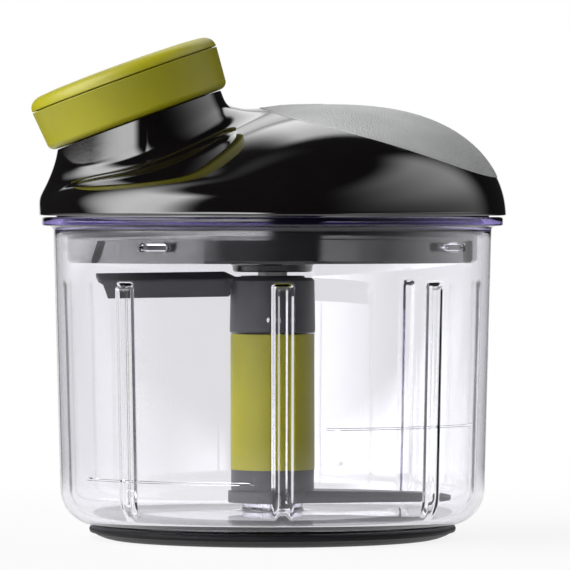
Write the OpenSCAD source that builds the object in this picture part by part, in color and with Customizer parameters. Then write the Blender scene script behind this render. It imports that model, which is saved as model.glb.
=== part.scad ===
// Pull-cord food chopper: clear bowl, arbor with a low blade and a high paddle, and a lid whose cord
// spool turns the arbor when the round handle is pulled along the leaning neck.
// Millimetres. The origin is on the bowl's axis at the table, +Z is up, and the handle leans toward -X.

/* [Bowl] */
// Height of the bowl's rim above the table
rim_h = 94.3; // [90:0.1:110]
// Outer radius of the wall just below the rim flange
bowl_top_r = 64.4; // [62:0.1:66]
// Outer radius of the wall where it meets the bottom corner
bowl_low_r = 62.4; // [58:0.1:62.4]
// Thickness of the bowl's wall and floor
bowl_wall = 2.2; // [1.6:0.1:2.6]
// Radius of the rounded bottom corner
corner_r = 10.6; // [6:0.2:14]
// Reach of the rim flange past the wall
flange_w = 3.4; // [2.6:0.1:4]
// Thickness of the rim flange
flange_t = 2.6; // [1.6:0.1:3]
// Drop from the rim to the wall ribs' upper ends
rib_drop = 19.7; // [14:0.1:40]
// Width of a wall rib's groove on the outside
rib_w = 4.9; // [3:0.1:7]
// Depth of a wall rib
rib_d = 1.3; // [0.6:0.1:1.6]
// Number of wall ribs
rib_count = 8; // [4:1:12]
// Height of the centre boss above the bowl's floor
boss_h = 3.6; // [2:0.1:5]
// Radius of the centre boss
boss_r = 9; // [7:0.5:11]

/* [Foot] */
// Height of the rubber foot
foot_h = 4; // [3:0.1:6]
// Outer radius of the foot's bead
foot_r = 53.9; // [50:0.1:54]
// Inner radius of the foot
foot_inner_r = 40; // [30:0.5:44]

/* [Arbor] */
// Radius of the steel pin that the arbor turns on
pivot_r = 3; // [2:0.1:4]
// Height of the pin's top above the table
pivot_top_h = 28; // [22:0.5:40]
// Radius of the inner tube that joins the stack
core_r = 8; // [6.6:0.1:9]
// Radius of the collar that carries the low arm
collar_r = 13.1; // [12.5:0.1:16]
// Height of the collar
collar_h = 3.85; // [3:0.05:5]
// Radius of the dark lower hub
hub_r = 12.2; // [10:0.1:12.4]
// Height of the lower hub
hub_h = 6.4; // [4:0.1:10]
// Radius of the green sleeve
sleeve_r = 12.35; // [10:0.05:12.5]
// Gap between the arbor's raised top and the lid's drive boss
cap_gap = 1.15; // [0.8:0.05:2]
// Radius of the upper cap
cap_r = 12.6; // [11:0.1:14]
// Height of the upper cap without its raised top
cap_h = 16.1; // [12:0.1:18]
// Reach of the low arm from the axis
arm_reach = 51.9; // [35:0.1:55]
// Reach of the paddle arm from the axis
paddle_reach = 51.9; // [35:0.1:55]
// Thickness of the steel blade
blade_t = 0.8; // [0.5:0.1:1.2]
// Stretch of steel that stands out of the arm's back edge
blade_out = 4.6; // [2:0.1:7]
// Radius of the cross pin through the cap
cap_pin_r = 0.75; // [0.5:0.05:1.2]

/* [Lid base] */
// Gap between the skirt and the bowl's wall
skirt_gap = 1.9; // [1.5:0.1:3]
// Depth of the skirt below the rim
skirt_h = 13.3; // [11:0.1:16]
// Thickness of the skirt's wall and floor
base_wall = 2.2; // [1.6:0.1:2.6]
// Radius of the drive boss under the lid's floor
drive_boss_r = 12.3; // [11:0.1:14]
// Height of the drive boss under the lid's floor
drive_boss_h = 2.8; // [2:0.1:3]
// Width of a locking lug on the bowl's wall
lug_w = 9; // [5:0.5:14]
// Height of a locking lug
lug_h = 2.6; // [1.6:0.1:4]
// Angle of the first locking lug from the front
lug_angle = 9.3; // [0:0.1:30]

/* [Dome] */
// Overhang of the dome's lower edge past the rim flange
dome_over = 0.9; // [0.4:0.1:2]
// Height of the dome's crown above its lower edge
crown_h = 32.5; // [28:0.5:40]
// Distance of the crown from the bowl's axis
crown_x = 15; // [5:0.5:20]
// Wall of the dome
dome_wall = 2.6; // [1.8:0.1:3.4]
// Thickness of the soft cover on the crown
grip_t = 1; // [0.6:0.1:1.4]

/* [Neck and handle] */
// Height of the handle's parting line above the bowl's rim, at its middle
part_h = 40.5; // [38:0.1:46]
// Distance of the parting line's middle inward from the dome's edge
part_in = 25.1; // [22:0.1:28]
// Lean of the neck and of the handle's pull
lean = 20; // [10:1:30]
// Radius of the neck at its top
neck_r = 25.6; // [23:0.1:26.5]
// Radius of the handle at its parting line
handle_r = 28.75; // [27:0.05:32]
// Radius of the handle near its bottom edge
handle_low_r = 27.85; // [26:0.05:31]
// Thickness of the handle's lower half
handle_base_t = 12.15; // [10:0.05:16]
// Thickness of the handle's upper half at its middle
handle_cap_t = 4.4; // [4:0.05:7]
// Wall of the handle's halves
handle_wall = 2.2; // [1.6:0.1:3]
// Width of the parting line
parting_gap = 0.35; // [0.2:0.05:0.6]
// Depth of the parting line
parting_d = 2.35; // [1:0.05:3]

/* [Cord and spool] */
// Diameter of the pull cord
cord_d = 2.2; // [1.6:0.1:2.6]
// Gap between neighbouring turns of the cord
cord_gap = 0.5; // [0.45:0.05:0.8]
// Radius at which the cord's middle lies on the spool
wind_r = 18; // [14:0.2:19]
// Turns of cord on the spool with the handle in
wind_turns = 2.75; // [1.5:0.25:2.75]
// Radius of the spool's flanges
spool_flange_r = 22; // [20.5:0.1:23]
// Radius of the spool's axle
axle_r = 3; // [2:0.1:3.6]
// Thickness of the flat spiral spring
spring_t = 0.5; // [0.3:0.05:0.7]
// Turns of the flat spiral spring
spring_turns = 5; // [3:1:6]
// Radius of the guide roller at the bottom of its groove
roller_r = 4; // [3:0.1:4.4]
// Teeth on the ratchet
tooth_count = 12; // [8:1:18]
// Radius of the drive shaft
shaft_r = 4.3; // [3.8:0.1:4.8]

/* [Clearances] */
// Radial running clearance of a shaft in its bore
run_c = 0.05; // [0.02:0.01:0.1]
// Gap between pieces that move past each other
gap_c = 0.3; // [0.2:0.05:0.5]
// End play of a turning piece
end_c = 0.15; // [0.1:0.05:0.3]

/* [Hidden] */
$fn = 96;
eps = 0.01;

clear_plastic = [0.86, 0.86, 0.93, 0.35];
green_plastic = [0.62, 0.62, 0.13];
dark_plastic = [0.3, 0.3, 0.32];
black_gloss = [0.06, 0.05, 0.06];
soft_grey = [0.42, 0.43, 0.44];
black_rubber = [0.05, 0.05, 0.05];
steel = [0.75, 0.76, 0.78];
white_plastic = [0.85, 0.85, 0.83];
cord_white = [0.88, 0.87, 0.82];

// Widths that follow from the bowl's wall
flange_r = bowl_top_r + flange_w;
skirt_r = bowl_top_r - bowl_wall - skirt_gap;
dome_r = flange_r + dome_over;
rib_top_h = rim_h - rib_drop;

// Heights in the lid, measured from the rim
skirt_z = rim_h - skirt_h;
base_floor_z = skirt_z + base_wall;
drive_boss_z = skirt_z - drive_boss_h;
base_flange_t = 1.8;
base_flange_r = bowl_top_r - 0.6;
dome_z = rim_h + 0.4;
seal_z = rim_h - 3.8;
seal_h = 1.6;
seal_groove_d = 1;
lug_z = rim_h - 10;
lug_inner_r = skirt_r - 0.9;
recess_d = 1.4;
recess_h = lug_z + lug_h + 0.6 - skirt_z;

// Heights up the arbor, each from the piece below it; its cap ends below the drive boss
floor_z = foot_h + bowl_wall;
boss_z = floor_z + boss_h;
collar_z = boss_z + end_c;
hub_z = collar_z + collar_h;
sleeve_z = hub_z + hub_h;
raised_top_h = 0.6;
raised_top_r = 9.3;
cap_top_z = drive_boss_z - cap_gap - raised_top_h;
cap_z = cap_top_z - cap_h;
sleeve_h = cap_z - sleeve_z - 0.35;

// Bush, shaft, clutch and spool, upward from the lid's floor
bush_r = 8;
bush_flange_r = 10;
bush_flange_t = 1.2;
nose_z = cap_top_z - 9;
thrust_z = base_floor_z + bush_flange_t + 0.1;
thrust_t = 1.5;
clutch_z = thrust_z + thrust_t;
spring_gap = 4.2;
disc_t = 1.8;
disc_z = clutch_z + spring_gap;
disc_r = 13.6;
tooth_z = disc_z + disc_t;
tooth_h = 1.3;
tooth_in_r = 9;
tooth_out_r = 13;
tooth_lash = 0.6;
tooth_gap = 0.22;
spool_z = tooth_z + tooth_h + 0.2;
flange_th = 1.4;
wind_pitch = cord_d + cord_gap;
groove_h = wind_turns * wind_pitch + cord_d + 0.2;
wind_z = spool_z + flange_th + 0.1 + cord_d / 2;
spool_top_z = spool_z + flange_th + groove_h + flange_th;
wind_steps_a_turn = 36;
drum_r = wind_r * cos(180 / wind_steps_a_turn) - cord_d / 2 - 0.15;
pocket_floor_t = 3;
drum_wall = 1.6;
bridge_z = spool_top_z + 0.8;
bridge_t = 2.4;
bridge_r = 27;
leg_at_r = 28;
leg_r = 3.2;

// Neck frame: its point is the middle of the handle's parting line, its axis leans toward -X
part_x = part_in - dome_r;
part_z = rim_h + part_h;
neck_top = -(handle_base_t + parting_gap + gap_c);
cup_depth = 10;
cup_floor = neck_top - cup_depth;
cup_floor_t = 2.6;
cup_r = neck_r - 3;
guide_t = cup_floor - cup_floor_t;
guide_x = part_x - guide_t * sin(lean);

// The cord leaves the spool along a tangent and turns up at the roller, below the neck's axis
leave_angle = 180 - acos(wind_r / -guide_x);
leave = wind_r * [cos(leave_angle), sin(leave_angle)];
run_l = norm([guide_x, 0] - leave);
run_dir = ([guide_x, 0] - leave) / run_l;
turn_r = roller_r + cord_d / 2;
roller_at = [guide_x, 0] - turn_r * run_dir;
roller_z = wind_z + turn_r;
roller_yaw = atan2(run_dir[1], run_dir[0]);
roller_w = 5;
guide_pin_r = 1.2;
ear_t = 1.5;

// Screws that join the lid, at the corners of a square
screw_r = 1.5;
head_r = 3;
head_t = 1.5;
lid_screw_at = 36;
lid_screw_len = 18;
boss_seat_z = rim_h + 1.9;
handle_screw_at = 16;
handle_screw_len = 10;

function arc(c, r, from, to, steps) =
    [for (i = [0:steps]) c + r * [cos(from + (to - from) * i / steps), sin(from + (to - from) * i / steps)]];
function mix(a, b, k) = a + (b - a) * k;
function smooth_max(a, b, k) = let (h = max(k - abs(a - b), 0) / k) max(a, b) + h * h * k / 4;

// Joins rings of points into a closed solid; each ring runs anticlockwise about the way to the next one
module skin(rings) {
    n = len(rings[0]);
    m = len(rings);
    polyhedron(
        points = [for (ring = rings) for (p = ring) p],
        faces = concat(
            [[for (i = [0:n - 1]) i]],
            [for (j = [0:m - 2]) for (i = [0:n - 1]) let (a = j * n + i, b = j * n + (i + 1) % n) [a, b + n, b]],
            [for (j = [0:m - 2]) for (i = [0:n - 1]) let (a = j * n + i, b = j * n + (i + 1) % n) [a, a + n, b + n]],
            [[for (i = [n - 1:-1:0]) (m - 1) * n + i]]
        )
    );
}

module neck_frame() {
    translate([part_x, 0, part_z]) rotate([0, -lean, 0]) children();
}

module around(count, first = 0) {
    for (i = [0:count - 1]) rotate([0, 0, first + i * 360 / count]) children();
}

module screw(length) {
    cylinder(r = screw_r, h = length, $fn = 24);
    difference() {
        translate([0, 0, -head_t]) cylinder(r = head_r, h = head_t, $fn = 32);
        for (turn = [0, 90]) rotate([0, 0, turn])
            translate([-2, -0.35, -head_t - eps]) cube([4, 0.7, 0.8]);
    }
}

// Bowl

wall_lean = atan((bowl_top_r - bowl_low_r) / (rim_h - flange_t - foot_h - corner_r));
function wall_r(z) = bowl_low_r + (z - foot_h - corner_r) * tan(wall_lean);

module bowl_shell() {
    corner = [bowl_low_r - corner_r, foot_h + corner_r];
    under = rim_h - flange_t;
    fillet = 1.5;
    rotate_extrude() polygon(concat(
        [[0, foot_h]],
        arc(corner, corner_r, -90, 0, 10),
        arc([wall_r(under) + fillet, under - fillet], fillet, 180, 90, 4),
        arc([flange_r - 0.6, under + 0.6], 0.6, -90, 0, 3),
        arc([flange_r - 0.6, rim_h - 0.6], 0.6, 0, 90, 3),
        [[wall_r(rim_h) - bowl_wall, rim_h]],
        arc(corner, corner_r - bowl_wall, 0, -90, 8),
        [[boss_r + 1, floor_z], [boss_r, floor_z + 1], [boss_r, boss_z], [0, boss_z]]
    ));
}

// A bar that leans with the wall: half widths at its outer and inner face, and its radial span from the wall
module leaning_bar(outer_w, inner_w, outward, inward, low, high) {
    translate([wall_r(low), 0, low]) rotate([0, wall_lean, 0])
        linear_extrude(height = (high - low) / cos(wall_lean))
            polygon([[-inward, -inner_w], [outward, -outer_w], [outward, outer_w], [-inward, inner_w]]);
}

module bowl() {
    color(clear_plastic) difference() {
        union() {
            bowl_shell();
            around(rib_count)
                leaning_bar(rib_w / 2 + 1.2, rib_w / 2, -0.8, bowl_wall + rib_d, foot_h + 5, rib_top_h + 1);
            around(4, lug_angle - 135) intersection() {
                difference() {
                    cylinder(r = wall_r(lug_z) - bowl_wall + 0.6, h = rim_h);
                    cylinder(r = lug_inner_r, h = rim_h);
                }
                translate([0, -lug_w / 2, lug_z]) cube([dome_r, lug_w, lug_h]);
            }
            foot_key(0);
            fill_line(18.5, 209, 262);
            fill_line(33.9, -78, -27);
        }
        around(rib_count) leaning_bar(rib_w / 2 + 0.8, rib_w / 4, 1, rib_d, foot_h - 1, rib_top_h);
        translate([0, 0, foot_h + 1]) cylinder(r = pivot_r, h = boss_z);
    }
}

// Raised fill line on the inside of the wall, from one angle to another
module fill_line(z, from, to) {
    rotate([0, 0, from]) rotate_extrude(angle = to - from)
        translate([wall_r(z) - bowl_wall - 0.3, z]) square([0.8, 0.5]);
}

// Ring under the bowl's floor that holds the foot in place
module foot_key(extra) {
    key_r = (foot_inner_r + foot_r) / 2;
    translate([0, 0, foot_h / 2 - extra]) difference() {
        cylinder(r = key_r + 0.9, h = foot_h / 2 + 2 * extra);
        translate([0, 0, -1]) cylinder(r = key_r - 0.9, h = foot_h + 2);
    }
}

module foot_ring() {
    bottom_r = foot_r - 5.6;
    color(black_rubber) difference() {
        rotate_extrude() polygon(concat(
            [[foot_inner_r, foot_h], [foot_inner_r, 0.6], [foot_inner_r + 0.6, 0]],
            [[bottom_r, 0], [bottom_r + 1.4, 0.35], [foot_r - 2.3, 1.1], [foot_r - 0.7, 2.2]],
            [[foot_r, 2.9], [foot_r, foot_h - 0.3], [foot_r - 0.3, foot_h]]
        ));
        difference() {
            foot_key(0);
            translate([0, 0, foot_h]) cylinder(r = foot_r, h = foot_h);
        }
        for (r = [foot_inner_r + 2.2, foot_inner_r + 5.4]) translate([0, 0, -1]) difference() {
            cylinder(r = r + 0.6, h = 1.7);
            translate([0, 0, -1]) cylinder(r = r - 0.6, h = 4);
        }
    }
}

module pivot_pin() {
    color(steel) {
        translate([0, 0, foot_h + 1]) cylinder(r = pivot_r, h = pivot_top_h - foot_h - 2);
        translate([0, 0, pivot_top_h - 1]) cylinder(r1 = pivot_r, r2 = pivot_r - 1, h = 1, $fn = 48);
    }
}

// Arbor

socket_play = 0.12;
module hex_nose(extra, height) {
    cylinder(r = shaft_r + extra, h = height, $fn = 6);
}

module arbor_core() {
    core_top = cap_top_z - 2.4;
    color(dark_plastic) difference() {
        translate([0, 0, collar_z]) cylinder(r = core_r, h = core_top - collar_z);
        translate([0, 0, collar_z - 1]) cylinder(r = pivot_r + run_c, h = pivot_top_h + 2 - collar_z);
        translate([0, 0, nose_z - 1]) hex_nose(socket_play, cap_h);
        cap_pin_hole();
    }
}

module tube(outer, inner, z, height) {
    translate([0, 0, z]) difference() {
        cylinder(r = outer, h = height);
        translate([0, 0, -1]) cylinder(r = inner, h = height + 2);
    }
}

module arbor_sleeve() {
    color(green_plastic) tube(sleeve_r, core_r, sleeve_z, sleeve_h);
}

module arbor_hub() {
    color(dark_plastic) difference() {
        tube(hub_r, core_r, hub_z, hub_h);
        translate([0, 0, hub_z - eps]) difference() {
            cylinder(r = hub_r + 1, h = 0.4);
            cylinder(r = hub_r - 0.4, h = 0.4);
        }
    }
}

// The low arm is a tapered plank: full width at the collar, swept back toward its round tip
function arm_mid(x) = 1.2 - 0.0028 * x * x;
function arm_half(x) = mix(11.2, 5.6, (x - 6) / (arm_reach - 6));
function arm_top(x) = hub_z + 0.25 - 0.9 * pow(x / arm_reach, 2);
function arm_low(x) = collar_z + 0.55 * pow(x / arm_reach, 2);
function arm_ring(x, k) =
    let (m = arm_mid(x), w = arm_half(x) * k, t = arm_top(x), l = arm_low(x), s = t - l, d = s * (1 - k) / 3)
    [[x, m - w, l + d], [x, m + w - 0.9 * k, l + d], [x, m + w, l + 0.35 * s], [x, m + w - 0.2 * k, l + 0.6 * s],
     [x, m + w - 2.6 * k, t - d], [x, m - w + 2.4 * k, t - d], [x, m - w, l + 0.58 * s]];

module arm() {
    round_l = 5;
    skin(concat(
        [for (x = [6:5.2:arm_reach - round_l]) arm_ring(x, 1)],
        [for (a = [20:20:80]) arm_ring(arm_reach - round_l + round_l * sin(a), pow(cos(a), 0.6))]
    ));
}

// Outline of the steel: a curved strip that starts in the collar and follows the arm's back edge
module blade_plate() {
    back = [for (x = [9:4:arm_reach - 3]) [x, arm_mid(x) + arm_half(x) + blade_out * pow(sin(mix(12, 168, (x - 9) / (arm_reach - 12))), 0.4)]];
    front = [for (x = [arm_reach - 3:-4:9]) [x, arm_mid(x) + arm_half(x) - 4]];
    translate([0, 0, (collar_z + hub_z) / 2 - blade_t]) linear_extrude(height = blade_t) polygon(concat(back, front));
}

module blade_carrier() {
    color(dark_plastic) difference() {
        union() {
            tube(collar_r, core_r - 1, collar_z, collar_h);
            arm();
        }
        translate([0, 0, collar_z - 1]) cylinder(r = core_r, h = collar_h + 3);
        translate([0, 0, hub_z]) cylinder(r = hub_r + 0.2, h = 3);
        blade_plate();
    }
}

module chopping_blade() {
    color(steel) difference() {
        blade_plate();
        translate([0, 0, collar_z - 1]) cylinder(r = collar_r - 1.5, h = collar_h + 2);
        // Ground edge: a thin slope along the outer edge of the top face
        for (x = [12:4:arm_reach - 8])
            translate([x, arm_mid(x) + arm_half(x) + blade_out - 1.4, (collar_z + hub_z) / 2])
                rotate([-22, 0, atan(-0.0056 * x - 0.12)]) translate([-2.6, 0, 0]) cube([5.2, 3, 1.5]);
    }
}

// The paddle is one folded plate: a flange leans back above the fold, and a face leans back below it
paddle_t = 1.6;
paddle_slope = 0.9;
fold_y = -2.6;

module paddle_plate(tilt, outline) {
    rotate([tilt, 0, 0]) translate([0, 0, -paddle_t / 2]) linear_extrude(height = paddle_t) polygon(outline);
}

module paddle_arm() {
    tip = -paddle_reach;
    root = -core_r - 1.2;
    wide = 7.2;
    translate([0, fold_y, cap_top_z - 0.3]) rotate([0, -paddle_slope, 0]) {
        paddle_plate(42, [[tip + 1.9, 0], [tip + 0.8, 0.5], [tip, 2.8], [-14.2, 2.7], [-11, 0.4], [root, 0.4], [root, 0]]);
        paddle_plate(-38, [[tip + 1.9, 0], [tip + 3.4, wide], [-13, wide], [-11.6, wide - 2.6], [root, wide - 3], [root, 0]]);
        translate([tip + 1.5, 0, 0]) rotate([0, 90, 0]) cylinder(r = paddle_t / 2, h = root - tip - 1.5, $fn = 24);
        // Gusset between the fold and the cap
        translate([0, 2, 0]) rotate([90, 0, 0]) linear_extrude(height = 3)
            polygon([[-14.3, 0], [-11.6, -3.6], [root, -3.6], [root, 0]]);
    }
}

module cap_pin_hole() {
    translate([0, 0, cap_z + 3.9]) rotate([90, 0, -7]) cylinder(r = cap_pin_r, h = 60, center = true, $fn = 24);
}

module paddle_cap() {
    color(dark_plastic) difference() {
        union() {
            rotate_extrude() polygon([
                [0, cap_z], [cap_r - 0.3, cap_z], [cap_r, cap_z + 0.5], [cap_r - 0.25, cap_top_z - 0.8],
                [cap_r - 1, cap_top_z], [raised_top_r + 0.3, cap_top_z], [raised_top_r, cap_top_z + raised_top_h],
                [0, cap_top_z + raised_top_h]
            ]);
            paddle_arm();
        }
        translate([0, 0, cap_z - 1]) cylinder(r = core_r, h = cap_h - 1.4);
        translate([0, 0, nose_z - 1]) hex_nose(socket_play, cap_h);
        cap_pin_hole();
    }
}

module cap_pin() {
    color(steel) intersection() {
        cap_pin_hole();
        translate([0, 0, cap_z]) cylinder(r = cap_r + 0.05, h = cap_h);
    }
}

// Lid base

module lid_base_ring() {
    inner = skirt_r - base_wall;
    rotate_extrude() polygon([
        [bush_r, drive_boss_z], [drive_boss_r - 1, drive_boss_z], [drive_boss_r - 0.6, drive_boss_z + 0.4],
        [drive_boss_r - 0.4, skirt_z - drive_boss_h * 0.35], [drive_boss_r, skirt_z - drive_boss_h * 0.35 + 0.3],
        [drive_boss_r, skirt_z], [skirt_r - 0.8, skirt_z], [skirt_r, skirt_z + 0.8],
        [skirt_r, seal_z], [skirt_r - seal_groove_d, seal_z],
        [skirt_r - seal_groove_d, seal_z + seal_h], [skirt_r, seal_z + seal_h],
        [skirt_r, rim_h], [base_flange_r, rim_h], [base_flange_r, rim_h + base_flange_t],
        [inner, rim_h + base_flange_t], [inner, base_floor_z], [bush_r, base_floor_z]
    ]);
}

// Recess in the skirt that lets a lug pass: open below, with one slanted end
module lug_recess() {
    slant = 3.5;
    left = lug_w / 2 + 21.7;
    right = lug_w / 2 + 10.5;
    intersection() {
        difference() {
            cylinder(r = skirt_r + 1, h = rim_h);
            cylinder(r = skirt_r - recess_d, h = rim_h);
        }
        translate([0, 0, skirt_z - eps]) rotate([90, 0, 90]) linear_extrude(height = dome_r)
            polygon([[-left, 0], [right, 0], [right, recess_h], [slant - left, recess_h]]);
    }
}

head_z = skirt_z + head_t + 0.5;
module screw_hole() {
    translate([0, 0, skirt_z - 1]) cylinder(r = head_r + 0.2, h = head_z - skirt_z + 1, $fn = 48);
    translate([0, 0, skirt_z]) cylinder(r = screw_r, h = skirt_h * 2, $fn = 24);
}

module at_lid_screws() {
    for (x = [-1, 1]) for (y = [-1, 1]) translate([x * lid_screw_at, y * lid_screw_at, 0]) children();
}

module lid_base() {
    color(dark_plastic) difference() {
        union() {
            lid_base_ring();
            at_lid_screws() translate([0, 0, base_floor_z]) cylinder(r = 4.4, h = boss_seat_z - base_floor_z, $fn = 48);
            around(3, 30) translate([leg_at_r, 0, base_floor_z]) cylinder(r = leg_r + 1.4, h = 5, $fn = 48);
        }
        around(4, lug_angle - 135) lug_recess();
        at_lid_screws() screw_hole();
        around(3, 30) translate([leg_at_r, 0, 0]) {
            screw_hole();
            translate([0, 0, head_z + 1.2]) cylinder(r = leg_r, h = skirt_h, $fn = 48);
        }
    }
}

module lid_screws() {
    color(steel) at_lid_screws() translate([0, 0, head_z]) screw(lid_screw_len);
}

module seal_ring() {
    inner = skirt_r - seal_groove_d;
    outer = wall_r(seal_z) - bowl_wall - gap_c;
    color(black_rubber) rotate_extrude() polygon([
        [inner, seal_z], [outer - 0.4, seal_z], [outer, seal_z + 0.5], [outer, seal_z + 1.1],
        [outer - 0.4, seal_z + seal_h], [inner, seal_z + seal_h]
    ]);
}

module drive_bushing() {
    color(white_plastic) difference() {
        union() {
            translate([0, 0, drive_boss_z]) cylinder(r = bush_r, h = base_floor_z - drive_boss_z);
            translate([0, 0, base_floor_z]) cylinder(r = bush_flange_r, h = bush_flange_t);
        }
        translate([0, 0, drive_boss_z - 1]) cylinder(r = shaft_r + run_c, h = skirt_h);
    }
}

// Spool and its frame

module spool_bridge() {
    color(dark_plastic) {
        difference() {
            union() {
                translate([0, 0, bridge_z]) cylinder(r = bridge_r, h = bridge_t);
                around(3, 30) translate([leg_at_r, 0, head_z + 1.2])
                    cylinder(r = leg_r, h = bridge_z + bridge_t - head_z - 1.2, $fn = 48);
            }
            translate([0, 0, bridge_z - 1]) cylinder(r = axle_r, h = bridge_t + 2);
            around(3, 30) translate([leg_at_r, 0, head_z]) cylinder(r = screw_r, h = 10, $fn = 24);
            around(6, 0) translate([bridge_r * 0.6, 0, bridge_z - 1]) cylinder(r = 4, h = bridge_t + 2, $fn = 48);
        }
    }
}

module bridge_screws() {
    color(steel) around(3, 30) translate([leg_at_r, 0, head_z]) screw(9);
}

module spool_axle() {
    color(steel) difference() {
        union() {
            translate([0, 0, spool_z + 0.2]) cylinder(r = axle_r, h = bridge_z + bridge_t - spool_z - 0.2);
            translate([0, 0, bridge_z + bridge_t]) cylinder(r = axle_r + 2, h = 1.2);
        }
        translate([-spring_t / 2, -axle_r - 1, spool_z + pocket_floor_t])
            cube([spring_t, axle_r + 1.5, bridge_z - spool_z - pocket_floor_t - 0.4]);
    }
}

// The ratchet's teeth: a ring whose upper face climbs and drops once for each tooth
function tooth_ring(r, z, lift) = [for (i = [0:tooth_count - 1]) for (k = [0, 0.5, 0.985])
    let (a = (i + k) * 360 / tooth_count) [r * cos(a), r * sin(a), z + lift * (1 - k)]];

module teeth(z_flat, z_root, lift) {
    n = tooth_count * 3;
    flip = z_flat > z_root;
    rings = [
        tooth_ring(tooth_in_r, z_flat, 0), tooth_ring(tooth_in_r, z_root, lift),
        tooth_ring(tooth_out_r, z_root, lift), tooth_ring(tooth_out_r, z_flat, 0)
    ];
    order = flip ? [0, 3, 2, 1] : [0, 1, 2, 3];
    points = [for (ring = rings) for (p = ring) p];
    polyhedron(points, [for (s = [0:3]) for (i = [0:n - 1])
        let (a = order[s] * n, b = order[(s + 1) % 4] * n, j = (i + 1) % n)
        for (face = [[a + i, b + j, b + i], [a + i, a + j, b + j]]) face]);
}

module ratchet_disc() {
    color(white_plastic) difference() {
        union() {
            translate([0, 0, disc_z]) cylinder(r = disc_r, h = disc_t);
            teeth(tooth_z - 0.6, tooth_z, tooth_h);
        }
        translate([0, 0, disc_z - 1]) cylinder(r = shaft_r + 1.08, h = disc_t + 4, $fn = 6);
    }
}

module clutch_spring() {
    wire = 0.4;
    coil_r = 7;
    turns = 3;
    low = clutch_z + wire;
    high = disc_z - wire;
    steps = turns * 12;
    color(steel) skin([for (i = [0:steps])
        let (a = i * 360 * turns / steps, z = mix(low, high, min(max((i - 4) / (steps - 8), 0), 1)))
        [for (s = [0:5]) let (r = coil_r + wire * cos(60 * s))
            [r * cos(a), r * sin(a), z + wire * sin(60 * s)]]]);
}

module drive_shaft() {
    color(white_plastic) {
        translate([0, 0, nose_z]) hex_nose(0, drive_boss_z - 0.2 - nose_z);
        translate([0, 0, drive_boss_z - 0.2]) cylinder(r = shaft_r, h = thrust_z - drive_boss_z + 0.2);
        translate([0, 0, thrust_z]) cylinder(r = shaft_r + 4, h = thrust_t);
        translate([0, 0, clutch_z]) cylinder(r = shaft_r + 1, h = spool_z - clutch_z - 0.4, $fn = 6);
    }
}

module cord_spool() {
    color(white_plastic) difference() {
        union() {
            rotate_extrude() polygon([
                [0, spool_z], [spool_flange_r, spool_z], [spool_flange_r, spool_z + flange_th],
                [drum_r, spool_z + flange_th], [drum_r, spool_top_z - flange_th],
                [spool_flange_r, spool_top_z - flange_th], [spool_flange_r, spool_top_z],
                [drum_r - drum_wall, spool_top_z], [drum_r - drum_wall, spool_z + pocket_floor_t],
                [0, spool_z + pocket_floor_t]
            ]);
            rotate([0, 0, -tooth_lash]) teeth(spool_z + 0.4, tooth_z + tooth_gap, tooth_h);
        }
        translate([0, 0, spool_z - 3]) cylinder(r = axle_r + run_c, h = spool_top_z);
        // Slot that takes the spring's outer end
        translate([drum_r - drum_wall - 0.4, -0.2, spool_z + pocket_floor_t + 0.4])
            cube([1.2, spring_t + 0.4, spool_top_z - spool_z]);
    }
}

module recoil_spring() {
    steps = spring_turns * 16;
    inner = axle_r + 0.6;
    outer = drum_r - drum_wall - spring_t - 0.3;
    sweep = 360 * spring_turns + 90;
    turn = [for (i = [0:steps]) [sweep * i / steps - 90, mix(inner, outer, i / steps)]];
    hook_r = drum_r - drum_wall + 0.6;
    line = concat(
        [[spring_t / 2, 0.3]],
        [for (p = turn) p[1] * [cos(p[0]), sin(p[0])] + [p[0] < -80 ? spring_t / 2 : 0, 0]],
        [[outer, spring_t], [hook_r, spring_t], [hook_r, 0]],
        [for (i = [steps:-1:0]) let (p = turn[i])
            (p[1] + spring_t) * [cos(p[0]), sin(p[0])] + [p[0] < -80 ? -spring_t / 2 : 0, 0]],
        [[-spring_t / 2, 0.3]]
    );
    color(steel) translate([0, 0, spool_z + pocket_floor_t + 0.5])
        linear_extrude(height = spool_top_z - spool_z - pocket_floor_t - 1) polygon(line);
}

// Guide roller in its bracket, turned square to the cord's run from the spool

module roller_frame() {
    translate([roller_at[0], roller_at[1], roller_z]) rotate([0, 0, roller_yaw]) rotate([90, 0, 0]) children();
}

module guide_roller() {
    half = roller_w / 2;
    flange = turn_r + 0.9;
    color(white_plastic) roller_frame() rotate_extrude() polygon(concat(
        [[guide_pin_r + run_c, -half], [flange, -half], [flange, -half + 0.7]],
        arc([turn_r, 0], cord_d / 2 + 0.1, -70, -290, 8),
        [[flange, half - 0.7], [flange, half], [guide_pin_r + run_c, half]]
    ));
}

module guide_pin() {
    span = roller_w + 0.6 + 2 * ear_t;
    color(steel) roller_frame() cylinder(r = guide_pin_r, h = span, center = true, $fn = 32);
}

module guide_bracket() {
    inside = roller_w / 2 + 0.3;
    ear_w = 7;
    drop = roller_z - base_floor_z;
    color(steel) roller_frame() difference() {
        union() {
            for (side = [-1, 1]) translate([0, 0, side * (inside + ear_t / 2)]) {
                cylinder(r = ear_w / 2, h = ear_t, center = true, $fn = 48);
                translate([-ear_w / 2, -drop, -ear_t / 2]) cube([ear_w, drop, ear_t]);
            }
            translate([-ear_w / 2, -drop, -inside - ear_t]) cube([ear_w, ear_t, 2 * (inside + ear_t)]);
        }
        cylinder(r = guide_pin_r, h = 4 * roller_w, center = true, $fn = 32);
    }
}

// Dome: one height for each point of the plan

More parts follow.
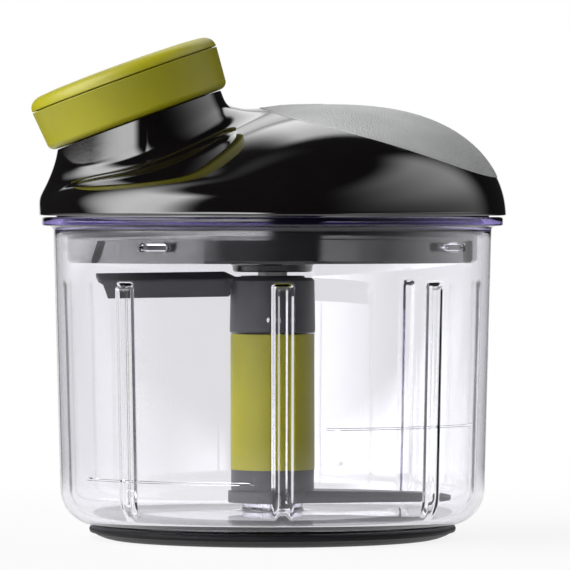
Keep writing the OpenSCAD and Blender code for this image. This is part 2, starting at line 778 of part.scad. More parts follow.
// Steepness of the crown: round toward +X, falling away straighter toward the neck, where a low shelf
// with a round edge carries the neck
function cone(f, a) = pow(max(1 - pow(f, 2.1 + 0.5 * cos(a)), 0), 0.5 + 0.8 * pow((1 - cos(a)) / 2, 3));
function shelf_share(a) = let (t = min(max((0.3 - cos(a)) / 0.9, 0), 1)) t * t * (3 - 2 * t);
function shelf(f, a) = 0.36 * shelf_share(a) * sqrt(max(1 - pow(f, 12), 0));
function crown(f, a) = let (g = min(f, 1)) pow(pow(cone(g, a), 4) + pow(shelf(g, a), 4), 0.25);
function edge_reach(a, r) = -crown_x * cos(a) + sqrt(r * r - pow(crown_x * sin(a), 2));
function crown_z(x, y, r, h) =
    let (a = atan2(y, x - crown_x), f = norm([x - crown_x, y]) / edge_reach(a, r)) dome_z + h * crown(f, a);
// Saddle between the crown and the neck
function saddle_z(x, y, h) =
    dome_z + h - 0.7 - y * y / 44 - 0.07 * max(2 - x, 0) - pow(max(x - 2, 0), 2) / 60 - pow(max(-12 - x, 0), 2) / 40;
function body_z(x, y, r, h) = smooth_max(crown_z(x, y, r, h), saddle_z(x, y, h), 4);

// Neck: radius at a distance t along its axis, and the height at which its wall stands over a point of the plan
function neck_at(x, y, z) = let (dx = x - part_x, dz = z - part_z)
    [dx * cos(lean) + dz * sin(lean), y, dz * cos(lean) - dx * sin(lean)];
function flare_start(u, v) = mix(28, 13, pow(max(-u / max(norm([u, v]), eps), 0), 2));
function neck_wall_r(u, v, t) = let (s = min(max(-t - flare_start(u, v), 0), 22)) neck_r + 0.55 * s + 0.03 * s * s;
function neck_gap(x, y, z) = let (p = neck_at(x, y, z)) norm([p[0], p[1]]) - neck_wall_r(p[0], p[1], p[2]);
function neck_z(x, y, low, high, n) = let (m = (low + high) / 2)
    n == 0 ? m : neck_gap(x, y, m) > 0 ? neck_z(x, y, low, m, n - 1) : neck_z(x, y, m, high, n - 1);
function plane_z(x, t) = part_z + (t + (x - part_x) * sin(lean)) / cos(lean);
function dome_top_z(x, y) =
    smooth_max(body_z(x, y, dome_r, crown_h), neck_z(x, y, dome_z - 6, plane_z(x, neck_top), 14),
        mix(2, 4, min(abs(y) / 20, 1)));

// Grid over the plan: rays from the neck's top edge to the dome's lower edge
neck_top_x = part_x - neck_top * sin(lean);
function ray_start(a) = [neck_top_x + neck_r * cos(lean) * cos(a), neck_r * sin(a)];
function ray_length(p, a) = let (b = p[0] * cos(a) + p[1] * sin(a)) -b + sqrt(b * b - p * p + dome_r * dome_r);
function plan_point(a, k) = let (p = ray_start(a)) p + k * ray_length(p, a) * [cos(a), sin(a)];

module dome_outside() {
    rays = 80;
    steps = 20;
    reach = [for (j = [0:steps]) let (k = j / steps) 1 - pow(1 - k, 1.6)];
    top = [for (i = [0:rays - 1]) let (p = ray_start(i * 360 / rays)) [p[0], p[1], plane_z(p[0], neck_top)]];
    edge = [for (i = [0:rays - 1]) let (p = plan_point(i * 360 / rays, 1)) [p[0], p[1], dome_z]];
    middle = [for (j = [1:steps - 1]) [for (i = [0:rays - 1]) let (p = plan_point(i * 360 / rays, reach[j]))
        [p[0], p[1], min(dome_top_z(p[0], p[1]), plane_z(p[0], neck_top))]]];
    skin(concat([edge], [for (j = [steps - 2:-1:0]) middle[j]], [top]));
}

// Space under the dome, down to its lower edge
module dome_inside() {
    rays = 60;
    steps = 10;
    r = dome_r - dome_wall;
    rings = [for (j = [0:steps]) let (k = j == 0 ? 1 : 1 - pow(j / steps, 1.5)) [for (i = [0:rays - 1])
        let (a = i * 360 / rays, d = max(k, 0.02) * r, x = d * cos(a), y = d * sin(a))
        [x, y, j == 0 ? dome_z : max(min(body_z(x, y, r, crown_h - dome_wall),
            plane_z(x, guide_t)), dome_z + 0.1 * j)]]];
    skin(concat([[for (p = rings[0]) [p[0], p[1], dome_z - 1]]], rings));
}

// Outline of the soft cover: a leaf with its tip toward the neck, as a share of the way to the dome's edge
function leaf(a) = 0.227 + 0.725 * pow(1 - pow(sin(a / 2), 4.2), 2.4);

module grip_solid(above) {
    rays = 64;
    steps = 8;
    low = [for (j = [0:steps]) grip_ring((j + 0.02) / (steps + 0.02), -grip_t, rays)];
    high = [for (j = [steps:-1:0]) grip_ring((j + 0.02) / (steps + 0.02), above, rays)];
    skin(concat(low, high));
}

function grip_ring(k, lift, rays) = [for (i = [0:rays - 1])
    let (a = i * 360 / rays, d = k * leaf(a) * edge_reach(a, dome_r), x = crown_x + d * cos(a), y = d * sin(a))
    [x, y, dome_top_z(x, y) + lift]];

module palm_grip() {
    color(soft_grey) grip_solid(0);
}

module lid_dome() {
    color(black_gloss) difference() {
        dome_outside();
        difference() {
            dome_inside();
            at_lid_screws() translate([0, 0, boss_seat_z]) cylinder(r = 4.4, h = crown_h * 2, $fn = 48);
        }
        tube(base_flange_r + gap_c, skirt_r - base_wall - gap_c, dome_z - 1, rim_h + base_flange_t + gap_c - dome_z + 1);
        grip_solid(3);
        neck_frame() {
            translate([0, 0, cup_floor]) cylinder(r = cup_r, h = 30);
            translate([0, 0, cup_floor - 12]) cylinder(r = eyelet_r, h = 24, $fn = 48);
        }
        at_lid_screws() translate([0, 0, dome_z]) cylinder(r = screw_r, h = lid_screw_len - rim_h + skirt_z + 3, $fn = 24);
    }
}

eyelet_r = 4;
module cord_eyelet() {
    bore = cord_d / 2 + 0.5;
    color(steel) neck_frame() rotate_extrude() polygon(concat(
        [[eyelet_r, guide_t], [eyelet_r, cup_floor], [eyelet_r + 1.6, cup_floor], [eyelet_r + 1.6, cup_floor + 0.8]],
        arc([bore + 1.2, cup_floor - 0.2], 1.2, 90, 180, 5),
        arc([bore + 1.2, guide_t + 1.2], 1.2, 180, 270, 5)
    ));
}

// Handle

module handle_base() {
    bottom = -(handle_base_t + parting_gap);
    lip_r = handle_r - parting_d;
    inner = lip_r - handle_wall;
    edge = 2.2;
    color(green_plastic) neck_frame() difference() {
        union() {
            rotate_extrude() polygon(concat(
                [[0, bottom]],
                arc([handle_low_r - edge, bottom + edge], edge, -90, -8, 6),
                [[handle_r, -parting_gap], [lip_r, -parting_gap], [lip_r, 1], [inner, 1]],
                [[inner, bottom + handle_wall + 1], [inner - 1, bottom + handle_wall], [0, bottom + handle_wall]]
            ));
            tube(cup_r - 1, cup_r - 3, bottom - 2.4, 2.6);
            around(3, 90) translate([handle_screw_at, 0, bottom + 1]) cylinder(r = 4, h = 5, $fn = 40);
        }
        translate([0, 0, bottom - 1]) cylinder(r = cord_d / 2 + 0.5, h = handle_wall + 2, $fn = 32);
        around(3, 90) translate([handle_screw_at, 0, bottom - 1]) {
            cylinder(r = screw_r, h = 12, $fn = 24);
            cylinder(r = head_r + 0.2, h = 1 + head_t + 0.3, $fn = 40);
        }
    }
}

module handle_cap() {
    lip_r = handle_r - parting_d;
    t = handle_cap_t;
    color(green_plastic) neck_frame() difference() {
        union() {
            rotate_extrude() polygon([
                [lip_r, 0], [handle_r, 0], [handle_r - 0.05, 0.6], [handle_r - 0.4, 1.7], [handle_r - 1.2, 2.65],
                [handle_r - 2.4, 3.35], [handle_r - 4, t - 0.72], [handle_r - 8, t - 0.4], [handle_r - 15, t - 0.15],
                [handle_r - 22, t - 0.03], [0, t], [0, t - handle_wall], [lip_r, 1.4]
            ]);
            around(3, 90) translate([handle_screw_at, 0, -6.2]) cylinder(r = 3.2, h = 7 + t - handle_wall, $fn = 40);
        }
        around(3, 90) translate([handle_screw_at, 0, -7]) cylinder(r = screw_r, h = 9, $fn = 24);
    }
}

module handle_screws() {
    bottom = -(handle_base_t + parting_gap);
    color(steel) neck_frame() around(3, 90) translate([handle_screw_at, 0, bottom + head_t + 0.3]) screw(handle_screw_len);
}

module cord_ferrule() {
    color(steel) neck_frame() translate([0, 0, cord_end]) difference() {
        cylinder(r = 3.2, h = 5, $fn = 48);
        translate([0, 0, -1]) cylinder(r = cord_d / 2 + 0.02, h = 7, $fn = 32);
    }
}

// Cord: turns on the spool, the run to the roller, a quarter turn up, and the run along the neck

cord_end = handle_wall - handle_base_t - parting_gap;
function on_axis(t) = [part_x - t * sin(lean), 0, part_z + t * cos(lean)];
function run_point(s) = [leave[0] + s * run_dir[0], leave[1] + s * run_dir[1], wind_z];
function turn_point(a) = [
    roller_at[0] + turn_r * sin(a) * run_dir[0], roller_at[1] + turn_r * sin(a) * run_dir[1],
    roller_z - turn_r * cos(a)
];
wind_steps = wind_steps_a_turn * wind_turns;
cord_line = concat(
    [for (i = [wind_steps:-1:1]) let (a = leave_angle - i * 360 / wind_steps_a_turn)
        [wind_r * cos(a), wind_r * sin(a), wind_z + i * wind_pitch / wind_steps_a_turn]],
    [for (s = [0:4:run_l - turn_r - 2]) run_point(s)],
    [for (a = [0:15:90]) turn_point(a)],
    [[guide_x, 0, roller_z + 1.5], mix([guide_x, 0, roller_z + 1.5], on_axis(guide_t), 0.6)],
    [for (t = [guide_t + 1:4:cord_end]) on_axis(t)],
    [on_axis(cord_end + 4.6)]
);
function unit(v) = v / norm(v);
function cord_ring(i) =
    let (
        n = len(cord_line),
        along = unit(cord_line[min(i + 1, n - 1)] - cord_line[max(i - 1, 0)]),
        side = unit(cross(along, [0.3, 0.9, 0.31])),
        up = cross(side, along)
    )
    [for (s = [0:7]) cord_line[i] + cord_d / 2 * (cos(45 * s) * side - sin(45 * s) * up)];

// Least gap of the cord to itself, measured between points over a diameter and a half apart along it
cord_way = [for (i = 0, l = 0; i < len(cord_line); l = l + (i + 1 < len(cord_line) ?
    norm(cord_line[i + 1] - cord_line[i]) : 0), i = i + 1) l];
cord_least = min([for (i = [0:len(cord_line) - 1]) for (j = [i + 1:1:len(cord_line) - 1])
    if (cord_way[j] - cord_way[i] > 4 * cord_d) norm(cord_line[j] - cord_line[i])]) - cord_d;

module pull_cord() {
    echo("pull_cord: least gap to itself, mm", cord_least, "length, mm", cord_way[len(cord_way) - 1]);
    color(cord_white) skin([for (i = [0:len(cord_line) - 1]) cord_ring(i)]);
}

bowl();
foot_ring();
pivot_pin();
arbor_core();
arbor_sleeve();
arbor_hub();
blade_carrier();
chopping_blade();
paddle_cap();
cap_pin();
lid_dome();
palm_grip();
lid_base();
seal_ring();
drive_bushing();
spool_bridge();
spool_axle();
recoil_spring();
guide_bracket();
guide_pin();
cord_eyelet();
lid_screws();
bridge_screws();
cord_spool();
drive_shaft();
ratchet_disc();
clutch_spring();
guide_roller();
handle_base();
handle_cap();
cord_ferrule();
handle_screws();
pull_cord();
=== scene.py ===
import functools
import math

import bmesh
import bpy
import numpy as np
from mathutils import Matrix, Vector


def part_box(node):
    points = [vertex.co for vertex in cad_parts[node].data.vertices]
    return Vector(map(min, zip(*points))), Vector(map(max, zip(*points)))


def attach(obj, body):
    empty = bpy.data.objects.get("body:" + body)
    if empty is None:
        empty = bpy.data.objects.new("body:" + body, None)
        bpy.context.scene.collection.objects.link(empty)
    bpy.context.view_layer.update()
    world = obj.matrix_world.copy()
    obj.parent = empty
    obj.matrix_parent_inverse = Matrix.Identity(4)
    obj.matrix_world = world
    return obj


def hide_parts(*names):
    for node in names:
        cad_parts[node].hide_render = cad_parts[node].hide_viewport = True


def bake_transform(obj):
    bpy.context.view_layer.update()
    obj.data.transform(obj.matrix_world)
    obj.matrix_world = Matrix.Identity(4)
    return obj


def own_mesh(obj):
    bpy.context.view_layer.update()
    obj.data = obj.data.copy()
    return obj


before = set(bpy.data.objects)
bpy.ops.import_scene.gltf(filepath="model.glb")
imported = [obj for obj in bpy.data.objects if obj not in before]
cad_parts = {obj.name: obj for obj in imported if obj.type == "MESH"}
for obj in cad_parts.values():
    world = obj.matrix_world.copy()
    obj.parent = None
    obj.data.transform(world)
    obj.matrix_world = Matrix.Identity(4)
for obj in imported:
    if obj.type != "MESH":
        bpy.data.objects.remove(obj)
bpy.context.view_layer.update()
scene = bpy.context.scene

# Camera: a long lens at the height of the bowl's rim, about a metre and a half away, turned
# 2.7 degrees to the object's left, as the photo's ellipses of the rim and the foot show.
camera_data = bpy.data.cameras.new("camera")
camera_data.lens = 328.5
camera_data.sensor_width = 36
camera_data.clip_end = 30
camera = bpy.data.objects.new("camera", camera_data)
camera.location = (-0.07207, -1.5283, 0.0943)
look_at = Vector((0.00367, -0.00017, 0.0743))
camera.rotation_euler = (look_at - camera.location).to_track_quat("-Z", "Y").to_euler()
scene.collection.objects.link(camera)
scene.camera = camera
scene.view_settings.view_transform = "Standard"


# Studio: a white table disc that keeps the object's soft shadow and fades into a white room. Softboxes
# stand at the left, low in front, at the right and behind, with a bright line at the horizon and a
# weak fill from below. The white itself shows only to the camera, through the bowl and in mirrors.
def put(tree, kind, given=(), **settings):
    """A new node: given feeds its inputs, in order or by name, and settings are its properties."""
    node = tree.nodes.new(kind)
    for name, value in settings.items():
        setattr(node, name, value)
    pairs = given.items() if isinstance(given, dict) else enumerate(given)
    for name, value in pairs:
        if isinstance(value, bpy.types.NodeSocket):
            tree.links.new(value, node.inputs[name])
        else:
            node.inputs[name].default_value = value
    return node


def maths(tree, operation, *values):
    """The result of one Math node."""
    return put(tree, "ShaderNodeMath", values, operation=operation).outputs[0]


def product(tree, *values):
    """All the values multiplied together."""
    return functools.reduce(functools.partial(maths, tree, "MULTIPLY"), values)


def total(tree, *values):
    """All the values added up."""
    return functools.reduce(functools.partial(maths, tree, "ADD"), values)


def between(tree, value, low, high, start=0.0, end=1.0):
    """start below low, end above high, and 3t^2 - 2t^3 of the way between them."""
    given = (value, low, high, start, end)
    return put(tree, "ShaderNodeMapRange", given, interpolation_type="SMOOTHSTEP").outputs[0]


def band(tree, value, rise, fall, start=0.0):
    """1 between two pairs of numbers, reached from start over the first and left to 0 over the second."""
    return product(tree, between(tree, value, *rise, start), between(tree, value, *fall, 1.0, 0.0))


def before_bounce(tree, path):
    """1 until a ray's first diffuse bounce and 0 after it, so that white shown isn't light given."""
    return between(tree, path["Diffuse Depth"], 0.4, 0.6, 1.0, 0.0)


def object_point(tree):
    """The surface point in the piece's own coordinates, in metres."""
    return put(tree, "ShaderNodeTexCoord").outputs["Object"]


def plain_material(name):
    """A new material with only its output node, and its node tree."""
    material = bpy.data.materials.new(name)
    material.use_nodes = True
    material.node_tree.nodes.clear()
    material.node_tree.nodes.new("ShaderNodeOutputMaterial")
    return material, material.node_tree


def show(tree, shader):
    """Makes the shader the material's surface."""
    tree.links.new(shader.outputs[0], tree.nodes["Material Output"].inputs["Surface"])


floor_r, floor_steps = 0.45, 96
turn = np.linspace(0, 2 * np.pi, floor_steps, endpoint=False)
floor_edge = np.stack([floor_r * np.cos(turn), floor_r * np.sin(turn), 0 * turn], 1)
floor_mesh = bpy.data.meshes.new("floor")
floor_mesh.from_pydata(floor_edge.tolist(), [], [tuple(range(floor_steps))])
floor = bpy.data.objects.new("floor", floor_mesh)
scene.collection.objects.link(floor)
white_floor, tree = plain_material("white_floor")
path = put(tree, "ShaderNodeLightPath").outputs
mirrored = product(tree, maths(tree, "MAXIMUM", path["Is Glossy Ray"], path["Is Transmission Ray"]), 0.9)
seen = maths(tree, "MAXIMUM", path["Is Camera Ray"], mirrored)
away = put(tree, "ShaderNodeVectorMath", (object_point(tree),), operation="LENGTH").outputs["Value"]
glow = between(tree, away, 0.1, 0.42, 0.86, 1.0)
table = put(tree, "ShaderNodeBsdfDiffuse", {"Color": (0.82, 0.82, 0.82, 1)}).outputs[0]
white = put(tree, "ShaderNodeEmission", {"Color": (1, 1, 1, 1), "Strength": 1.0}).outputs[0]
nothing = put(tree, "ShaderNodeBsdfTransparent", {"Color": (1, 1, 1, 1)}).outputs[0]
near = put(tree, "ShaderNodeMixShader", (product(tree, seen, before_bounce(tree, path), glow), table, white))
show(tree, put(tree, "ShaderNodeMixShader", (between(tree, away, 0.15, 0.42), near.outputs[0], nothing)))
floor_mesh.materials.append(white_floor)

# The room's light by direction, in degrees: az is 0 toward the camera and 90 at the right, el is up.
world = bpy.data.worlds.new("room")
world.use_nodes = True
tree = world.node_tree
tree.nodes.clear()
path = put(tree, "ShaderNodeLightPath").outputs
toward = put(tree, "ShaderNodeSeparateXYZ", (put(tree, "ShaderNodeTexCoord").outputs["Generated"],)).outputs
az = maths(tree, "DEGREES", maths(tree, "ARCTAN2", toward["X"], maths(tree, "MULTIPLY", toward["Y"], -1.0)))
el = maths(tree, "DEGREES", maths(tree, "ARCSINE", toward["Z"]))
slanted_edge = maths(tree, "MULTIPLY_ADD", el, -1.35, -96.0)
left_box = product(tree, 4.8, band(tree, az, (slanted_edge, -80.0), (-68.0, -40.0)),
                   band(tree, el, (3.0, 9.0), (52.0, 68.0)))
low_box = product(tree, 5.0, band(tree, az, (-80.0, -24.0), (-12.0, 0.0)),
                  band(tree, el, (-0.15, -0.05), (13.0, 18.0)))
right_box = product(tree, 1.3, band(tree, az, (22.0, 108.0), (112.0, 134.0)),
                    band(tree, el, (4.0, 34.0), (50.0, 68.0), start=0.25))
past_side = maths(tree, "MAXIMUM", between(tree, az, 134.0, 144.0),
                  between(tree, az, -176.0, -168.0, 1.0, 0.0))
back_box = product(tree, 1.7, past_side, band(tree, el, (26.0, 31.0), (49.0, 56.0)))
fill = product(tree, 1.2, band(tree, az, (-120.0, -85.0), (-60.0, -35.0)),
               band(tree, el, (-30.0, -22.0), (-8.0, -4.0)))
line_left = product(tree, 6.0, band(tree, az, (-150.0, -72.0), (-52.0, -28.0)))
line_right = product(tree, 3.2, band(tree, az, (21.0, 27.0), (90.0, 125.0)),
                     between(tree, az, 30.0, 62.0, 1.0, 0.35))
horizon = product(tree, band(tree, el, (-2.2, -1.4), (0.0, 0.8)), total(tree, line_left, line_right))
behind = maths(tree, "ABSOLUTE", az)
wall_through = product(tree, path["Is Transmission Ray"], between(tree, behind, 60.0, 120.0, 0.0, 0.9),
                       between(tree, el, 24.0, 60.0, 1.0, 0.3))
wall_mirrored = product(tree, path["Is Glossy Ray"], between(tree, behind, 164.0, 170.0),
                        between(tree, el, 24.0, 30.0, 0.9, 0.0))
wall = product(tree, maths(tree, "MAXIMUM", wall_through, wall_mirrored), before_bounce(tree, path))
ambient = between(tree, path["Is Glossy Ray"], 0.4, 0.6, 0.09, 0.012)
light = total(tree, left_box, low_box, right_box, back_box, fill, horizon, wall, ambient)
room = put(tree, "ShaderNodeBackground", {"Color": (1, 1, 1, 1), "Strength": light}).outputs[0]
white = put(tree, "ShaderNodeBackground", {"Color": (1, 1, 1, 1), "Strength": 1.0}).outputs[0]
shown = put(tree, "ShaderNodeMixShader", (path["Is Camera Ray"], room, white))
put(tree, "ShaderNodeOutputWorld", {"Surface": shown.outputs[0]})
scene.world = world

# Bowl: one clear moulding in slightly violet plastic, with a rim flange, eight ribs pressed in
# from outside, four locking lugs inside the rim, raised fill lines and a boss for the pin.
mm = 0.001
rim_h, wall_top_r, wall_low_r, wall_t = 94.3, 64.4, 62.4, 2.2
foot_h, corner_r, flange_r, flange_t = 4.0, 10.6, 67.8, 2.6
fillet_r, flange_edge_r, rim_edge_r = 1.5, 0.6, 0.5
rib_top, rib_d, rib_count = 74.6, 1.1, 8
# Half width of a rib's flat and of the whole rib, outside and inside the wall.
groove_w, ridge_w = (0.7, 2.5), (1.7, 3.6)
boss_r, boss_h, pin_hole_r, pin_mouth_r, pin_hole_z = 9.0, 3.6, 3.03, 3.6, 5.0
lug_z, lug_h, lug_in, lug_w, lug_r, lug_past_rib = rim_h - 10, 2.6, 59.4, 9.0, 59.8, 9.3
# Each fill line's height, and its first and last degree round the bowl.
fill_lines, fill_line_w, fill_line_d = ((18.5, 209, 262), (33.9, 282, 333)), 0.5, 0.3
# Radius of the small caps that close a turned shape at its axis, and the gap to a piece below.
pole_r, seat_gap = 0.02, 0.02
floor_z, corner_z, mid_z, flange_z = foot_h + wall_t, foot_h + corner_r, 50, rim_h - flange_t
boss_z = floor_z + boss_h
slope = (wall_top_r - wall_low_r) / (flange_z - corner_z)


def wall_r(z):
    """Outer radius of the bowl's wall: low radius plus the wall's slope times the height."""
    return wall_low_r + (z - corner_z) * slope


def arc(cx, cz, r, start, end, steps):
    """Points on a circle in the profile's plane, from start to end degrees."""
    a = np.radians(np.linspace(start, end, steps + 1))
    return np.stack([cx + r * np.cos(a), cz + r * np.sin(a)], 1)


def ramp(x, low, high):
    """0 below low, 1 above high, and 3t^2 - 2t^3 between them."""
    s = np.clip((x - low) / (high - low), 0, 1)
    return s * s * (3 - 2 * s)


def grid_mesh(name, points, closed=False):
    """A mesh over rings of points in mm, with quads between neighbours.

    Where closed, quads also join the last ring to the first; otherwise both end rings get a cap.
    """
    rings, steps = points.shape[:2]
    index = np.arange(rings * steps).reshape(rings, steps)
    beside = np.roll(index, -1, 1)
    if closed:
        quads = np.stack([index, beside, np.roll(beside, -1, 0), np.roll(index, -1, 0)], -1)
        faces = quads.reshape(-1, 4).tolist()
    else:
        quads = np.stack([index[:-1], beside[:-1], beside[1:], index[1:]], -1)
        faces = quads.reshape(-1, 4).tolist() + [index[0, ::-1].tolist(), index[-1].tolist()]
    mesh = bpy.data.meshes.new(name)
    mesh.from_pydata((points.reshape(-1, 3) * mm).tolist(), [], faces)
    mesh.validate()
    mesh.update()
    piece = bpy.data.objects.new(name, mesh)
    scene.collection.objects.link(piece)
    return piece


def finish_piece(piece, material, body, replaced, angle):
    shell = bmesh.new()
    shell.from_mesh(piece.data)
    bmesh.ops.recalc_face_normals(shell, faces=shell.faces)
    shell.to_mesh(piece.data)
    shell.free()
    piece.data.polygons.foreach_set("use_smooth", [True] * len(piece.data.polygons))
    piece.data.set_sharp_from_angle(angle=math.radians(angle))
    piece.data.materials.append(material)
    if body:
        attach(piece, body)
    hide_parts(replaced)


def mixed(tree, factor, first, second):
    """The first colour where factor is 0, the second where it is 1: a Mix node's inputs 6 and 7."""
    return put(tree, "ShaderNodeMix", {0: factor, 6: first, 7: second}, data_type="RGBA").outputs[2]


def noise(tree, place, scale, detail, rough=0.5):
    """Fractal noise between 0 and 1."""
    given = {"Vector": place, "Scale": scale, "Detail": detail, "Roughness": rough}
    return put(tree, "ShaderNodeTexNoise", given).outputs[0]


def raised(tree, height, strength, distance, **over):
    """The normal of a surface that height raises by up to distance in metres, over another bump's Normal."""
    given = {"Height": height, "Strength": strength, "Distance": distance, **over}
    return put(tree, "ShaderNodeBump", given).outputs[0]


wall_zs = np.unique(np.concatenate([
    np.linspace(corner_z, flange_z - fillet_r, 30), rib_top + np.linspace(-1.6, 1.2, 9)]))
inner_zs = np.unique(np.concatenate([
    np.linspace(corner_z, rim_h - rim_edge_r - 0.1, 30), rib_top + 1 + np.linspace(-1.6, 1.2, 9),
    lug_z + np.linspace(-0.3, lug_h + 0.3, 15),
    *[z + np.array([-0.1, 0.05, 0.45, 0.6]) for z, _, _ in fill_lines]]))
outer = np.concatenate([
    [[r, foot_h + seat_gap] for r in (pole_r, 20, 40)],
    arc(wall_low_r - corner_r, corner_z, corner_r, -90, 0, 14)[:-1],
    np.stack([wall_r(wall_zs), wall_zs], 1)])
flange = np.concatenate([
    arc(wall_r(flange_z) + fillet_r, flange_z - fillet_r, fillet_r, 180, 90, 6)[1:],
    arc(flange_r - flange_edge_r, flange_z + flange_edge_r, flange_edge_r, -90, 0, 4),
    arc(flange_r - flange_edge_r, rim_h - flange_edge_r, flange_edge_r, 0, 90, 4),
    arc(wall_r(rim_h) - wall_t + rim_edge_r, rim_h - rim_edge_r, rim_edge_r, 90, 180, 3)])
inner = np.concatenate([
    np.stack([wall_r(inner_zs) - wall_t, inner_zs], 1)[::-1],
    arc(wall_low_r - corner_r, corner_z, corner_r - wall_t, 0, -90, 12)[1:],
    [[30, floor_z], [12, floor_z]],
    arc(boss_r + 1, floor_z + 1, 1, -90, -180, 4),
    arc(boss_r - 0.4, boss_z - 0.4, 0.4, 0, 90, 3),
    [[pin_mouth_r, boss_z], [pin_hole_r + 0.12, boss_z - 0.3], [pin_hole_r, pin_hole_z],
     [pole_r, pin_hole_z]]])
profile = np.concatenate([outer, flange, inner])
# Steps round the bowl are short across a rib and at a lug's ends, and wide between.
rib_turn = 360 / rib_count
sector = np.radians(np.concatenate([np.linspace(-3.4, 3.4, 26), np.linspace(3.9, 41.1, 20)]))
lug_at = np.radians(lug_past_rib - 135 + 90 * np.arange(4))
lug_ends = np.linspace(lug_w / 2 - lug_h / 2 - 0.3, lug_w / 2 + 0.3, 10) / lug_r
theta = np.concatenate([sector + np.radians(rib_turn * k) for k in range(rib_count)] + [
    a + s * lug_ends for a in lug_at for s in (-1, 1)])
theta = np.sort(np.mod(theta, 2 * np.pi))
theta = theta[np.concatenate([[True], np.diff(theta) > 1e-4])]
theta_deg = np.degrees(theta)
skin_r, skin_z = profile[:, :1] + 0 * theta, profile[:, 1:] + 0 * theta
row = np.arange(len(profile))[:, None]
on_wall = (skin_z > foot_h + 1) & (skin_r > wall_low_r - corner_r)
on_outer = on_wall & (row < len(outer))
on_inner = on_wall & (row >= len(outer) + len(flange))
rib_angle = np.radians(rib_turn)
across = np.abs((theta + rib_angle / 2) % rib_angle - rib_angle / 2) * wall_r(mid_z)
groove = ((1 - ramp(across, *groove_w)) * (1 - ramp(skin_z, rib_top - 1.1, rib_top + 0.1))
          * ramp(skin_z, 7, 13))
ridge = ((1 - ramp(across, *ridge_w)) * (1 - ramp(skin_z, rib_top - 0.1, rib_top + 1.1))
         * ramp(skin_z, 9, 15))
skin_r = skin_r - rib_d * groove * on_outer - rib_d * ridge * on_inner
along_wall = np.min(np.abs((theta[:, None] - lug_at + np.pi) % (2 * np.pi) - np.pi), 1) * lug_r
past_lug = np.hypot(np.maximum(along_wall - (lug_w - lug_h) / 2, 0), skin_z - lug_z - lug_h / 2) - lug_h / 2
skin_r = skin_r - (skin_r - lug_in) * (1 - ramp(past_lug, -0.5, 0.05)) * on_inner
for z, start, end in fill_lines:
    drawn_line = ramp(theta_deg, start, start + 0.5) * (1 - ramp(theta_deg, end - 0.5, end))
    skin_r = skin_r - fill_line_d * drawn_line * ((skin_z > z) & (skin_z < z + fill_line_w)) * on_inner
bowl = grid_mesh("bowl_clear", np.stack([skin_r * np.cos(theta), skin_r * np.sin(theta), skin_z], -1))

clear_plastic, tree = plain_material("clear_plastic")
place = object_point(tree)
height = put(tree, "ShaderNodeSeparateXYZ", (place,)).outputs["Z"]
in_rim = between(tree, height, (flange_z - 1.2) * mm, (flange_z + 0.8) * mm)
wavy = put(tree, "ShaderNodeMapping", {"Vector": place, "Scale": (1, 1, 0.35)}).outputs[0]
glass = put(tree, "ShaderNodeBsdfPrincipled", {
    "Base Color": mixed(tree, in_rim, (0.985, 0.983, 0.992, 1), (0.42, 0.35, 0.75, 1)),
    "Roughness": between(tree, noise(tree, place, 240.0, 5.0, 0.6), 0.55, 0.8, 0.008, 0.035),
    "Normal": raised(tree, noise(tree, wavy, 55.0, 2.0), 0.035, 0.001),
    "Transmission Weight": 1, "IOR": 1.5}).outputs[0]
for_shadows = put(tree, "ShaderNodeBsdfTransparent", {"Color": (0.9, 0.9, 0.93, 1)}).outputs[0]
is_shadow = put(tree, "ShaderNodeLightPath").outputs["Is Shadow Ray"]
show(tree, put(tree, "ShaderNodeMixShader", (is_shadow, glass, for_shadows)))
tint = put(tree, "ShaderNodeVolumeAbsorption", {"Color": (0.62, 0.58, 0.88, 1), "Density": 24.0}).outputs[0]
tree.links.new(tint, tree.nodes["Material Output"].inputs["Volume"])
finish_piece(bowl, clear_plastic, "bowl", "bowl", angle=38)

# Foot: black rubber ring pressed onto the bowl's key, with a rounded bead that shows below the bowl's
# corner and an undercut to a smaller standing ring. All moulded surfaces from here on have a fine
# grain, a slow drift of tone and a few rubbed streaks.
moulded_surface = bpy.data.node_groups.new("moulded_surface", "ShaderNodeTree")
for label in ("Grain Scale", "Scuff Share"):
    moulded_surface.interface.new_socket(name=label, in_out="INPUT", socket_type="NodeSocketFloat")
for label in ("Grain", "Drift", "Scuff"):
    moulded_surface.interface.new_socket(name=label, in_out="OUTPUT", socket_type="NodeSocketFloat")
tree = moulded_surface
asked = put(tree, "NodeGroupInput").outputs
place = object_point(tree)
streaks = put(tree, "ShaderNodeMapping", {
    "Vector": place, "Rotation": (0.3, 0.7, 0.2), "Scale": (2600, 160, 420)}).outputs[0]
put(tree, "NodeGroupOutput", {
    "Grain": noise(tree, place, asked["Grain Scale"], 3.0, 0.6),
    "Drift": between(tree, noise(tree, place, 48.0, 3.0), 0.3, 0.7),
    "Scuff": product(tree, between(tree, noise(tree, streaks, 1.0, 2.0), 0.6, 0.72),
                     between(tree, noise(tree, place, 90.0, 2.0), 0.5, 0.66), asked["Scuff Share"])})


def shade(colour, times, lift=0.0):
    """The colour's parts times a number plus lift, at most 1, with full alpha."""
    return (*[min(part * times + lift, 1) for part in colour], 1)


